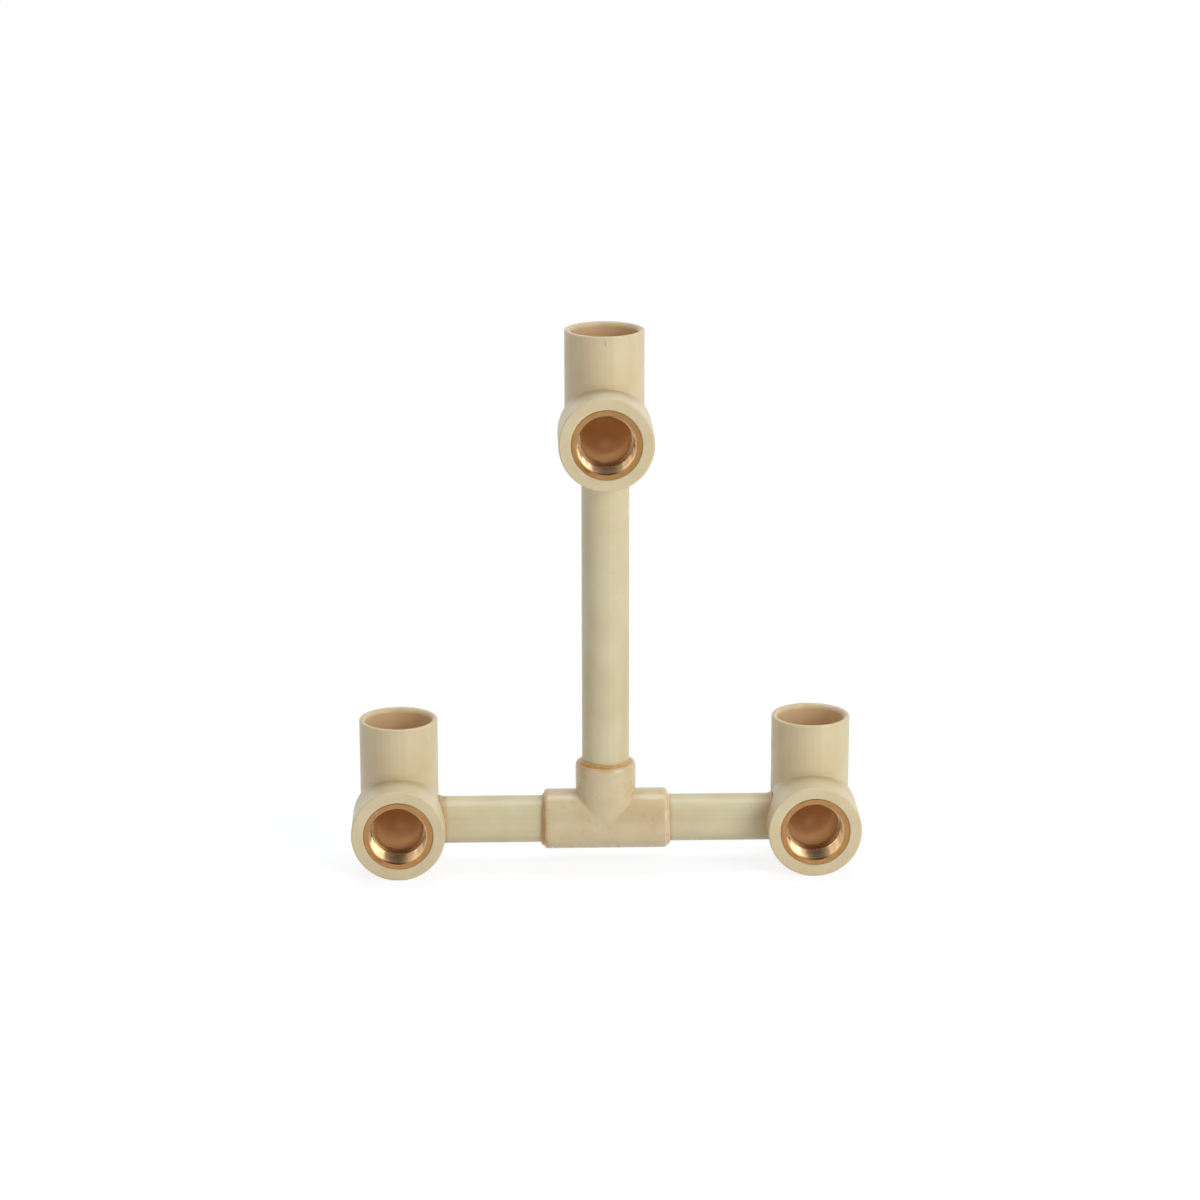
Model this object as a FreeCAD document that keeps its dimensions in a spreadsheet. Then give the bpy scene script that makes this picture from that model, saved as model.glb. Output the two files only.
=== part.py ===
import FreeCAD, Part
import os
import Sketcher
from FreeCAD import Placement, Rotation, Vector

# Three-outlet adapter for a wall-mounted bath mixer. Two inlet elbows and one upper outlet elbow
# carry brass threads that face the room. A tee and three blind spacer pipes hold them at their
# standard centres. Millimetres; +X right, +Y into the wall, +Z up, origin under the middle.

SIZES = {
    # layout of the three outlets
    "inlet_spacing": 140.0,
    "outlet_rise": 134.0,
    # spacer pipes and their blind seats in the collars
    "pipe_radius": 7.95,
    "pipe_wall": 1.75,
    "pipe_end_bevel": 0.5,
    "cement_gap": 0.05,
    "end_gap": 0.1,
    "seat_floor_wall": 1.0,
    # brass insert moulded into the collar, measured from its front face
    "thread_minor_radius": 9.32,
    "thread_lead_in": 0.48,
    "insert_wall": 2.33,
    "insert_rim_length": 1.5,
    "insert_band_step": 1.05,
    "insert_front_band": 2.7,
    "insert_groove_width": 1.2,
    "insert_back_band": 2.8,
    "insert_band_wall": 0.6,
    "insert_neck_step": 0.55,
    "insert_neck_length": 3.0,
    "insert_lip": 1.2,
    "knurl_count": 20,
    "knurl_depth": 0.8,
    "knurl_overshoot": 0.4,
    # elbow moulding
    "collar_wall": 3.05,
    "collar_setback": 4.4,
    "collar_front_ease": 0.6,
    "collar_back_round": 2.2,
    "waterway_step": 0.97,
    "least_land": 0.1,
    # solvent socket for the supply pipe
    "socket_radius": 11.15,
    "socket_wall": 2.1,
    "socket_offset": 9.2,
    "socket_stop": 15.4,
    "socket_depth": 17.8,
    "socket_lead_in": 0.7,
    "socket_lead_height": 1.05,
    "socket_rim_ease": 0.35,
    # tee
    "tee_wall": 2.15,
    "tee_run_stop": 8.9,
    "tee_branch_stop": 8.5,
    "tee_socket_depth": 12.0,
    "tee_run_step": 1.7,
    "tee_branch_step": 2.0,
    "tee_end_round": 1.3,
    "tee_lead_in": 0.7,
    # squeezed-out solvent cement
    "bead_width": 0.75,
    "bead_height": 0.65,
    "bead_shoulder_width": 0.525,
    "bead_shoulder_height": 0.39,
}

# Sizes that follow from the ones above, each written once.
FOLLOWING = {
    "seat_radius": "pipe_radius + cement_gap",
    "insert_rim_radius": "thread_minor_radius + insert_wall",
    "insert_band_radius": "insert_rim_radius + insert_band_step",
    "insert_neck_radius": "insert_rim_radius - insert_neck_step",
    "insert_groove_start": "insert_rim_length + insert_front_band",
    "insert_groove_end": "insert_groove_start + insert_groove_width",
    "insert_band_end": "insert_groove_end + insert_back_band",
    "insert_length": "insert_band_end + insert_neck_length",
    "insert_lip_start": "insert_length - insert_lip",
    "seat_floor": "insert_neck_radius + seat_floor_wall",
    "pipe_plane_depth": "insert_band_end + insert_band_wall + seat_radius",
    "socket_axis": "pipe_plane_depth + socket_offset",
    "socket_outer_radius": "socket_radius + socket_wall",
    "socket_rise": "socket_stop + socket_depth",
    "waterway_radius": "thread_minor_radius - waterway_step",
    "collar_radius": "insert_band_radius + collar_wall",
    "collar_length": "socket_axis - collar_setback",
    "tee_radius": "seat_radius + tee_wall",
    "tee_round": "min(tee_end_round; tee_wall - tee_lead_in - least_land)",
    "tee_run_bore_radius": "seat_radius - tee_run_step",
    "tee_branch_bore_radius": "seat_radius - tee_branch_step",
    "tee_half_length": "tee_run_stop + tee_socket_depth",
    "tee_branch_rise": "tee_branch_stop + tee_socket_depth",
    "front": "-(socket_axis + socket_outer_radius) / 2",
    "pipe_plane": "front + pipe_plane_depth",
    "inlet_x": "inlet_spacing / 2",
    "outlet_z": "collar_radius + outlet_rise",
}

doc = FreeCAD.newDocument("mixer_adapter")
sheet = doc.addObject("Spreadsheet::Sheet", "sizes")
cells = {name: str(value) for name, value in SIZES.items()}
cells.update({name: "=" + formula for name, formula in FOLLOWING.items()})
for row, (name, content) in enumerate(cells.items(), 1):
    sheet.set("A%d" % row, name)
    sheet.set("B%d" % row, content)
    sheet.setAlias("B%d" % row, name)
    doc.recompute()

UPRIGHT = Rotation()
TO_RIGHT = Rotation(Vector(0, 1, 0), 90)
TO_LEFT = Rotation(Vector(0, 1, 0), -90)
DOWNWARD = Rotation(Vector(0, 1, 0), 180)
INTO_WALL = Rotation(Vector(1, 0, 0), -90)


def value_of(expression):
    """An expression on the sheet as a plain number of millimetres."""
    return float(sheet.evalExpression(expression))


def bind(thing, **expressions):
    """Ties properties of an object to expressions; a double underscore stands for a dot."""
    for name, expression in expressions.items():
        thing.setExpression(name.replace("__", "."), expression)


def place(thing, label, rotation=UPRIGHT, across="0", deep="0", up="0"):
    """Names a sub-part and puts it at its place in the frame."""
    thing.Label = label
    thing.Placement = Placement(Vector(), rotation)
    bind(thing, Placement__Base__x=across, Placement__Base__y=deep, Placement__Base__z=up)
    return thing


def sketch_on(body, name, role):
    """An empty sketch on one of the body's own origin planes."""
    sketch = body.newObject("Sketcher::SketchObject", name)
    plane = next(f for f in body.Origin.OriginFeatures if f.Role == role)
    sketch.AttachmentSupport = (plane, [""])
    sketch.MapMode = "FlatFace"
    return sketch


def hold(sketch, edge, end, axis, expression):
    """Holds one coordinate of a point: on an axis when it is zero, else at a bound distance."""
    if expression == "0":
        zero_line = -2 if axis == "X" else -1
        sketch.addConstraint(Sketcher.Constraint("PointOnObject", edge, end, zero_line))
        return
    size = value_of(expression)
    index = sketch.addConstraint(
        Sketcher.Constraint("Distance" + axis, -1, 1, edge, end, size))
    sketch.renameConstraint(index, "at_%d_%d_%s" % (edge, end, axis.lower()))
    sketch.setExpression("Constraints[%d]" % index, expression)


def draw_outline(sketch, corners, arcs=()):
    """A closed outline. Each corner is (across, up), with "X" or "Y" added where an arc ends and
    only that coordinate is held. arcs gives the centre of each round edge by its number."""
    arcs = dict(arcs)
    spots = [Vector(value_of(c[0]), value_of(c[1]), 0) for c in corners]
    for number, start in enumerate(spots):
        end = spots[(number + 1) % len(spots)]
        if number in arcs:
            centre = Vector(*[value_of(e) for e in arcs[number]], 0)
            circle = Part.Circle(centre, Vector(0, 0, 1), (start - centre).Length)
            sketch.addGeometry(
                Part.ArcOfCircle(circle, circle.parameter(start), circle.parameter(end)))
        else:
            sketch.addGeometry(Part.LineSegment(start, end))
    for number, corner in enumerate(corners):
        previous = (number - 1) % len(corners)
        sketch.addConstraint(Sketcher.Constraint("Coincident", previous, 2, number, 1))
        held = corner[2] if len(corner) > 2 else "XY"
        if "X" in held:
            hold(sketch, number, 1, "X", corner[0])
        if "Y" in held:
            hold(sketch, number, 1, "Y", corner[1])
        if number in arcs:
            hold(sketch, number, 3, "X", arcs[number][0])
            hold(sketch, number, 3, "Y", arcs[number][1])
    return sketch


def draw_circle(sketch, radius, across="0", up="0"):
    """A circle of a bound radius about a bound centre."""
    centre = Vector(value_of(across), value_of(up), 0)
    edge = sketch.addGeometry(Part.Circle(centre, Vector(0, 0, 1), value_of(radius)))
    hold(sketch, edge, 3, "X", across)
    hold(sketch, edge, 3, "Y", up)
    index = sketch.addConstraint(Sketcher.Constraint("Radius", edge, value_of(radius)))
    sketch.setExpression("Constraints[%d]" % index, radius)
    return sketch


def turned_body(name, role, axis, corners, arcs=()):
    """A body turned from one outline about an axis of its sketch."""
    body = doc.addObject("PartDesign::Body", name)
    sketch = draw_outline(sketch_on(body, name + "_outline", role), corners, arcs)
    turn = body.newObject("PartDesign::Revolution", name + "_turn")
    turn.Profile = (sketch, [""])
    turn.ReferenceAxis = (sketch, [axis])
    turn.Angle = 360
    doc.recompute()
    return body


def round_off(body, name, radius, chosen):
    """Rounds the edges of the body's tip for which chosen(edge) is true."""
    tip = body.Tip
    names = []
    for number, edge in enumerate(tip.Shape.Edges, 1):
        if not edge.Degenerated and chosen(edge):
            names.append("Edge%d" % number)
    assert names, name + " finds no edge"
    fillet = body.newObject("PartDesign::Fillet", name)
    fillet.Base = (tip, names)
    bind(fillet, Radius=radius)
    doc.recompute()
    return fillet


def is_ring(edge, radius, axis, distance):
    """Whether an edge is a circle of this radius at this distance along an axis."""
    curve = edge.Curve
    if not isinstance(curve, Part.Circle):
        return False
    spot = getattr(curve.Center, axis)
    return abs(curve.Radius - value_of(radius)) < 1e-4 and abs(spot - value_of(distance)) < 1e-4


def cut(name, base, tool):
    """One shape cut by another, checked to have lost material."""
    result = doc.addObject("Part::Cut", name)
    result.Base = base
    result.Tool = tool
    doc.recompute()
    assert result.Shape.Volume < base.Shape.Volume - 1, name + " cuts nothing"
    return result


def fuse(name, shapes):
    """Several shapes joined into one."""
    result = doc.addObject("Part::MultiFuse", name)
    result.Shapes = shapes
    result.Refine = True
    doc.recompute()
    return result


def rod(name, rotation, radius, length, across="0", deep="0", up="0"):
    """A plain cylinder from a bound place along a direction."""
    cylinder = doc.addObject("Part::Cylinder", name)
    bind(cylinder, Radius=radius, Height=length)
    return place(cylinder, name, rotation, across, deep, up)


def make_insert_blank():
    """The insert's outside, with no bore: rim, two knurled anchor bands with a groove between
    them, and a plain neck that passes in front of the spacer pipe's seat."""
    body = turned_body("insert_blank", "XY_Plane", "V_Axis", [
        ("0", "0"),
        ("sizes.insert_rim_radius", "0"),
        ("sizes.insert_rim_radius", "sizes.insert_rim_length"),
        ("sizes.insert_band_radius", "sizes.insert_rim_length"),
        ("sizes.insert_band_radius", "sizes.insert_groove_start"),
        ("sizes.insert_rim_radius", "sizes.insert_groove_start"),
        ("sizes.insert_rim_radius", "sizes.insert_groove_end"),
        ("sizes.insert_band_radius", "sizes.insert_groove_end"),
        ("sizes.insert_band_radius", "sizes.insert_band_end"),
        ("sizes.insert_neck_radius", "sizes.insert_band_end"),
        ("sizes.insert_neck_radius", "sizes.insert_length"),
        ("0", "sizes.insert_length"),
    ])
    smooth = body.Tip.Shape.Volume
    half_width = "(sizes.knurl_depth + sizes.knurl_overshoot)"
    notch = draw_outline(sketch_on(body, "knurl_notch", "XZ_Plane"), [
        ("0", "sizes.insert_band_radius - sizes.knurl_depth"),
        (half_width, "sizes.insert_band_radius + sizes.knurl_overshoot"),
        ("-" + half_width, "sizes.insert_band_radius + sizes.knurl_overshoot"),
    ])
    groove = body.newObject("PartDesign::Pocket", "knurl_groove")
    groove.Profile = (notch, [""])
    groove.Type = "ThroughAll"
    doc.recompute()
    knurl = body.newObject("PartDesign::PolarPattern", "knurl")
    knurl.Originals = [groove]
    knurl.Axis = (notch, ["N_Axis"])
    knurl.Angle = 360
    bind(knurl, Occurrences="sizes.knurl_count")
    body.Tip = knurl
    doc.recompute()
    assert knurl.Shape.Volume < smooth - 1, "the knurl cuts nothing"
    return body


def make_insert_bore():
    """The threaded bore at its minor diameter, with a lead-in and a lip at its far end."""
    return turned_body("insert_bore", "XY_Plane", "V_Axis", [
        ("0", "0"),
        ("sizes.thread_minor_radius + sizes.thread_lead_in", "0"),
        ("sizes.thread_minor_radius", "sizes.thread_lead_in"),
        ("sizes.thread_minor_radius", "sizes.insert_lip_start"),
        ("sizes.waterway_radius", "sizes.insert_lip_start"),
        ("sizes.waterway_radius", "sizes.insert_length"),
        ("0", "sizes.insert_length"),
    ])


def make_elbow_outside():
    """The moulding's outside: thick collar, leg and round heel in one turned form, and the
    upright socket that rises out of it."""
    body = turned_body("elbow_outside", "XY_Plane", "V_Axis", [
        ("0", "0"),
        ("sizes.collar_radius", "0"),
        ("sizes.collar_radius", "sizes.collar_length"),
        ("sizes.socket_outer_radius", "sizes.collar_length"),
        ("sizes.socket_outer_radius", "sizes.socket_axis"),
        ("0", "sizes.socket_axis + sizes.socket_outer_radius", "X"),
    ], {4: ("0", "sizes.socket_axis")})
    round_off(body, "collar_front_round", "sizes.collar_front_ease",
              lambda edge: is_ring(edge, "sizes.collar_radius", "y", "0"))
    step = "sizes.collar_radius - sizes.socket_outer_radius - sizes.least_land"
    round_off(body, "collar_back_round", "min(sizes.collar_back_round; %s)" % step,
              lambda edge: is_ring(edge, "sizes.collar_radius", "y", "sizes.collar_length"))
    circle = draw_circle(sketch_on(body, "socket_circle", "XY_Plane"),
                         "sizes.socket_outer_radius", up="sizes.socket_axis")
    socket = body.newObject("PartDesign::Pad", "socket_pad")
    socket.Profile = (circle, [""])
    bind(socket, Length="sizes.socket_rise")
    doc.recompute()
    round_off(body, "socket_rim_round", "sizes.socket_rim_ease",
              lambda edge: is_ring(edge, "sizes.socket_outer_radius", "z", "sizes.socket_rise"))
    return body


def make_elbow_cavity():
    """The water's way: straight socket with a lead-in and a stop, a round turn, and the passage
    to the brass insert."""
    shaft = turned_body("socket_cavity", "XZ_Plane", "V_Axis", [
        ("0", "-sizes.waterway_radius"),
        ("sizes.waterway_radius", "0", "Y"),
        ("sizes.waterway_radius", "sizes.socket_stop"),
        ("sizes.socket_radius", "sizes.socket_stop"),
        ("sizes.socket_radius", "sizes.socket_rise - sizes.socket_lead_height"),
        ("sizes.socket_radius + sizes.socket_lead_in", "sizes.socket_rise"),
        ("0", "sizes.socket_rise"),
    ], {0: ("0", "0")})
    place(shaft, "socket_cavity", deep="sizes.socket_axis")
    passage = rod("passage", INTO_WALL, "sizes.waterway_radius",
                  "sizes.socket_axis - sizes.insert_length", deep="sizes.insert_length")
    return fuse("elbow_cavity", [shaft, passage])


def make_elbow(label, solid, turned, across, up):
    """One elbow: the common moulding with a blind seat for its spacer pipe on one side."""
    seat = rod(label + "_seat", turned, "sizes.seat_radius", "sizes.collar_radius",
               deep="sizes.pipe_plane_depth")
    way = turned.multVec(Vector(0, 0, 1))
    bind(seat, Placement__Base__x="sizes.seat_floor * %d" % way.x,
         Placement__Base__z="sizes.seat_floor * %d" % way.z)
    return place(cut(label, solid, seat), label, across=across, deep="sizes.front", up=up)


def make_tee():
    """The equal tee: run and branch of one diameter mitred into each other along a sharp valley,
    rounded ends, three sockets with lead-ins and stops."""
    shoulder = "sizes.tee_radius - sizes.tee_round"
    run_end = "(sizes.tee_half_length - sizes.tee_round)"
    run = turned_body("tee_run", "XZ_Plane", "H_Axis", [
        ("-sizes.tee_half_length", "0"),
        ("-sizes.tee_half_length", "-(%s)" % shoulder),
        ("-" + run_end, "-sizes.tee_radius", "X"),
        (run_end, "-sizes.tee_radius"),
        ("sizes.tee_half_length", "-(%s)" % shoulder, "Y"),
        ("sizes.tee_half_length", "0"),
    ], {1: ("-" + run_end, "-(%s)" % shoulder), 3: (run_end, "-(%s)" % shoulder)})
    branch_end = "(sizes.tee_branch_rise - sizes.tee_round)"
    branch = turned_body("tee_branch", "XZ_Plane", "V_Axis", [
        ("0", "0"),
        ("sizes.tee_radius", "0"),
        ("sizes.tee_radius", branch_end),
        (shoulder, "sizes.tee_branch_rise", "X"),
        ("0", "sizes.tee_branch_rise"),
    ], {2: (shoulder, branch_end)})
    mitre = doc.addObject("PartDesign::Body", "mitre")
    corner = draw_outline(sketch_on(mitre, "mitre_corner", "XZ_Plane"), [
        ("0", "0"),
        ("sizes.tee_branch_rise", "sizes.tee_branch_rise"),
        ("-sizes.tee_branch_rise", "sizes.tee_branch_rise"),
    ])
    wedge = mitre.newObject("PartDesign::Pad", "mitre_wedge")
    wedge.Profile = (corner, [""])
    wedge.SideType = "Symmetric"
    bind(wedge, Length="sizes.tee_branch_rise * 2")
    doc.recompute()
    upper = doc.addObject("Part::Common", "mitred_branch")
    upper.Base = branch
    upper.Tool = mitre
    doc.recompute()
    body = fuse("tee_outside", [cut("mitred_run", run, mitre), upper])
    mouth = "sizes.seat_radius + sizes.tee_lead_in"
    run_cavity = turned_body("run_cavity", "XY_Plane", "H_Axis", [
        ("-sizes.tee_half_length", "0"),
        ("sizes.tee_half_length", "0"),
        ("sizes.tee_half_length", mouth),
        ("sizes.tee_half_length - sizes.tee_lead_in", "sizes.seat_radius"),
        ("sizes.tee_run_stop", "sizes.seat_radius"),
        ("sizes.tee_run_stop", "sizes.tee_run_bore_radius"),
        ("-sizes.tee_run_stop", "sizes.tee_run_bore_radius"),
        ("-sizes.tee_run_stop", "sizes.seat_radius"),
        ("-(sizes.tee_half_length - sizes.tee_lead_in)", "sizes.seat_radius"),
        ("-sizes.tee_half_length", mouth),
    ])
    branch_cavity = turned_body("branch_cavity", "XZ_Plane", "V_Axis", [
        ("0", "0"),
        ("sizes.tee_branch_bore_radius", "0"),
        ("sizes.tee_branch_bore_radius", "sizes.tee_branch_stop"),
        ("sizes.seat_radius", "sizes.tee_branch_stop"),
        ("sizes.seat_radius", "sizes.tee_branch_rise - sizes.tee_lead_in"),
        (mouth, "sizes.tee_branch_rise"),
        ("0", "sizes.tee_branch_rise"),
    ])
    tee = cut("tee", body, fuse("tee_cavity", [run_cavity, branch_cavity]))
    return place(tee, "tee", deep="sizes.pipe_plane", up="sizes.collar_radius")


def make_pipe(label, turned, length, across="0", up="0"):
    """A spacer pipe from its lower or inner end, with both cut ends bevelled."""
    bore = "(sizes.pipe_radius - sizes.pipe_wall)"
    bevel = "sizes.pipe_end_bevel"
    body = turned_body(label, "XZ_Plane", "V_Axis", [
        (bore, "0"),
        ("sizes.pipe_radius - " + bevel, "0"),
        ("sizes.pipe_radius", bevel),
        ("sizes.pipe_radius", "%s - %s" % (length, bevel)),
        ("sizes.pipe_radius - " + bevel, length),
        (bore, length),
    ])
    return place(body, label, turned, across, "sizes.pipe_plane", up)


def make_tee_bead(label, turned, across, up):
    """The ring of cement in a tee mouth: it fills the lead-in and stands a little proud."""
    body = turned_body(label, "XZ_Plane", "V_Axis", [
        ("sizes.pipe_radius", "-(sizes.tee_lead_in - sizes.cement_gap)"),
        ("sizes.seat_radius + sizes.tee_lead_in - sizes.cement_gap", "0"),
        ("sizes.pipe_radius + sizes.bead_shoulder_width", "sizes.bead_shoulder_height"),
        ("sizes.pipe_radius", "sizes.bead_height"),
    ])
    return place(body, label, turned, across, "sizes.pipe_plane", up)


def make_collar_bead(label, moulding, turned, across, up):
    """The saddle of cement round a spacer pipe where it goes into the side of a collar, clear of
    the moulding all round."""
    deep = "sizes.pipe_plane_depth"
    front = "sizes.pipe_plane_depth - sizes.collar_radius"
    reach = "sizes.collar_radius + sizes.bead_height * 2"
    width = "sizes.collar_radius * 2"
    outside = rod(label + "_outside", turned, "sizes.pipe_radius + sizes.bead_width", reach,
                  deep=deep)
    pipe = rod(label + "_pipe", turned, "sizes.pipe_radius", reach, deep=deep)
    skin = rod(label + "_skin", INTO_WALL, "sizes.collar_radius + sizes.bead_height", width,
               deep=front)
    collar = rod(label + "_collar", INTO_WALL, "sizes.collar_radius", width, deep=front)
    shell = doc.addObject("Part::Common", label + "_shell")
    shell.Base = outside
    shell.Tool = skin
    doc.recompute()
    saddle = cut(label + "_ring", cut(label + "_saddle", shell, moulding), collar)
    return place(cut(label, saddle, pipe), label, across=across, deep="sizes.front", up=up)


def make_parts():
    """Every sub-part, in the order in which the adapter is put together."""
    blank = make_insert_blank()
    bore = make_insert_bore()
    outside = make_elbow_outside()
    moulding = cut("elbow_moulding", outside, make_elbow_cavity())
    seated = cut("elbow_seated", moulding, blank)
    left = "-sizes.inlet_x"
    spots = {
        "left": (TO_RIGHT, left, "sizes.collar_radius"),
        "right": (TO_LEFT, "sizes.inlet_x", "sizes.collar_radius"),
        "upper": (DOWNWARD, "0", "sizes.outlet_z"),
    }
    parts = []
    for side, (turned, across, up) in spots.items():
        parts.append(make_elbow("elbow_" + side, seated, turned, across, up))
        insert = cut("insert_" + side, blank, bore)
        parts.append(place(insert, "insert_" + side, across=across, deep="sizes.front", up=up))
        parts.append(make_collar_bead("cement_elbow_" + side, outside, turned, across, up))
    parts.append(make_tee())
    spacer = "sizes.inlet_x - sizes.seat_floor - sizes.tee_run_stop - sizes.end_gap * 2"
    riser = "sizes.outlet_rise - sizes.seat_floor - sizes.tee_branch_stop - sizes.end_gap * 2"
    inner_end = "(sizes.tee_run_stop + sizes.end_gap)"
    run_z = "sizes.collar_radius"
    parts.append(make_pipe("spacer_pipe_left", TO_LEFT, spacer, "-" + inner_end, run_z))
    parts.append(make_pipe("spacer_pipe_right", TO_RIGHT, spacer, inner_end, run_z))
    parts.append(make_pipe("riser_pipe", UPRIGHT, riser,
                           up=run_z + " + sizes.tee_branch_stop + sizes.end_gap"))
    half = "sizes.tee_half_length"
    parts.append(make_tee_bead("cement_tee_left", TO_LEFT, "-" + half, run_z))
    parts.append(make_tee_bead("cement_tee_right", TO_RIGHT, half, run_z))
    parts.append(make_tee_bead("cement_tee_top", UPRIGHT, "0", run_z + " + sizes.tee_branch_rise"))
    return parts


parts = make_parts()
doc.recompute()
for thing in doc.Objects:
    assert not {"Invalid", "Error"} & set(thing.State), "%s failed: %s" % (thing.Name, thing.State)
for part in parts:
    assert not part.Shape.isNull() and part.Shape.isValid(), part.Label + " has no sound shape"
    assert len(part.Shape.Solids) == 1, part.Label + " is not one solid"

os.makedirs("parts", exist_ok=True)
for part in parts:
    part.Shape.exportStep("parts/%s.step" % part.Label)
    print(part.Label, "%.1f mm3" % part.Shape.Volume)
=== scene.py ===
import math

import bpy
import numpy as np
from mathutils import Matrix, Vector


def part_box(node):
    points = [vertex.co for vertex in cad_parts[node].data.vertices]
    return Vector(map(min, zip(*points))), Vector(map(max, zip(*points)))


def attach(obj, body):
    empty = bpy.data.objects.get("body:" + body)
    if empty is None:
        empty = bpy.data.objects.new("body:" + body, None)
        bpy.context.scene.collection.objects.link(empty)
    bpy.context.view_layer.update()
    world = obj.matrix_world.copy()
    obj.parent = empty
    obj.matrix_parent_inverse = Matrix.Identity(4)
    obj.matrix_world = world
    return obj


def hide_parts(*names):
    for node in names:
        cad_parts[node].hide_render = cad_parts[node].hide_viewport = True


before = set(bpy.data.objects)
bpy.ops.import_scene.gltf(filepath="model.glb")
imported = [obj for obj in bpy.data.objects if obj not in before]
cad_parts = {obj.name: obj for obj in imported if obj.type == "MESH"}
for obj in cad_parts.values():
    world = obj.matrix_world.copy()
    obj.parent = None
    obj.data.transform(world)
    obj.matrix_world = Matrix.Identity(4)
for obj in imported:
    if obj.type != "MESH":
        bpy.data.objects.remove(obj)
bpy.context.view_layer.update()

# A cream CPVC mixer adapter with brass threads. The mouldings, pipes, inserts and cement beads are
# built here in millimetres round each piece's own centre, then set in the frame in metres.

MM = 0.001

# Sizes of the construction model, in millimetres.
COLLAR_RADIUS = 15.75
COLLAR_LENGTH = 21.6
PIPE_PLANE = 16.8
SOCKET_OFFSET = 9.2
SOCKET_AXIS = PIPE_PLANE + SOCKET_OFFSET
SOCKET_OUTER = 13.25
SOCKET_RISE = 33.2
SOCKET_DEPTH = 17.8
SOCKET_STOP = SOCKET_RISE - SOCKET_DEPTH
SOCKET_RADIUS = 11.15
SOCKET_LEAD_IN = 0.7
SOCKET_LEAD_HEIGHT = 1.05
WATERWAY = 8.35
RIM_RADIUS = 11.65
RIM_LENGTH = 1.5
BAND_RADIUS = 12.7
BAND_GROOVE = (4.2, 5.4)
BAND_END = 8.2
NECK_RADIUS = 11.1
INSERT_LENGTH = 11.2
LIP_START = 10.0
PIPE_RADIUS = 7.95
PIPE_BORE = 6.2
PIPE_BEVEL = 0.5
SEAT_RADIUS = 8.0
SEAT_FLOOR = 12.1
TEE_RADIUS = 10.15
TEE_HALF = 20.9
TEE_RISE = 20.5
TEE_SOCKET = 12.0
TEE_RUN_BORE = 6.3
TEE_BRANCH_BORE = 6.0
TEE_LEAD_IN = 0.7
KNURLS = 20
KNURL_DEPTH = 0.8

# The inside thread of the brass, G1/2.
THREAD_MINOR = 9.32
THREAD_DEPTH = 1.16
THREAD_PITCH = 1.814
THREAD_MOUTH = 0.48
MOUTH_RADIUS = THREAD_MINOR + THREAD_MOUTH

# How far the edges and corners of the mouldings are rounded, in millimetres.
COLLAR_BACK_ROUND = 2.6
HEEL_BLEND = 1.0
CREASE_BLEND = 0.55
FACE_ROUND = 0.55
TOP_ROUND = 0.45
LEAD_BLEND = 0.3
STOP_BLEND = 0.4
WATERWAY_BLEND = 1.2
CUT_ROUND = 0.35
TEE_END_ROUND = 1.5
TEE_VALLEY_BLEND = 0.25

# How finely things are drawn.
NET_STEP = 0.45
ROUND_STEPS = 192
THREAD_ROWS = 20
BEAD_STEPS = 180
BEAD_RING = 12

# The studio: how strongly the surround lights the part, how dark the camera's side of the room is
# in reflections, the way to a bright panel that only reflections show with the cosines at its
# soft edge, and the floor's glow with the reach over which it fades to white, in metres.
AMBIENT = 0.285
ROOM = 0.05
PANEL_WAY = (-0.72, -0.67, 0.18)
PANEL_EDGE = (0.86, 0.95)
FLOOR_GLOW = 0.84
FLOOR_FADE = (0.12, 0.4)
LIGHT_AIM = Vector((0, 0, 0.09))

# The way that each elbow's spacer pipe leaves it.
SIDES = {"left": (1, 0, 0), "right": (-1, 0, 0), "upper": (0, 0, -1)}


def centre_of(side):
    """The middle of an insert's front face, in metres."""
    low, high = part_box("insert_" + side)
    return Vector(((low.x + high.x) / 2, low.y, (low.z + high.z) / 2))


TEE_LOW, TEE_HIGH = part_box("tee")
TEE_CENTRE = Vector(((TEE_LOW.x + TEE_HIGH.x) / 2, (TEE_LOW.y + TEE_HIGH.y) / 2,
                     TEE_LOW.z + TEE_RADIUS * MM))

# The photograph's camera, fitted to the measured edges of the part.
CAMERA_DISTANCE = 1.1928
CAMERA_ELEVATION = math.radians(16.147)
CAMERA_YAW = math.radians(-1.608)
CAMERA_ROLL = math.radians(-0.073)
CAMERA_LENS = 107.24
CAMERA_AIM = Vector((-0.0018, TEE_CENTRE.y, TEE_CENTRE.z + 0.0770))


# Smooth distance fields

def soft_min(a, b, blend):
    """The lesser of two fields, with the corner between them filled over a width."""
    share = np.clip(0.5 + 0.5 * (b - a) / blend, 0, 1)
    return b + (a - b) * share - blend * share * (1 - share)


def soft_max(a, b, blend):
    """The greater of two fields, with the edge between them rounded."""
    return -soft_min(-a, -b, blend)


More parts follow.
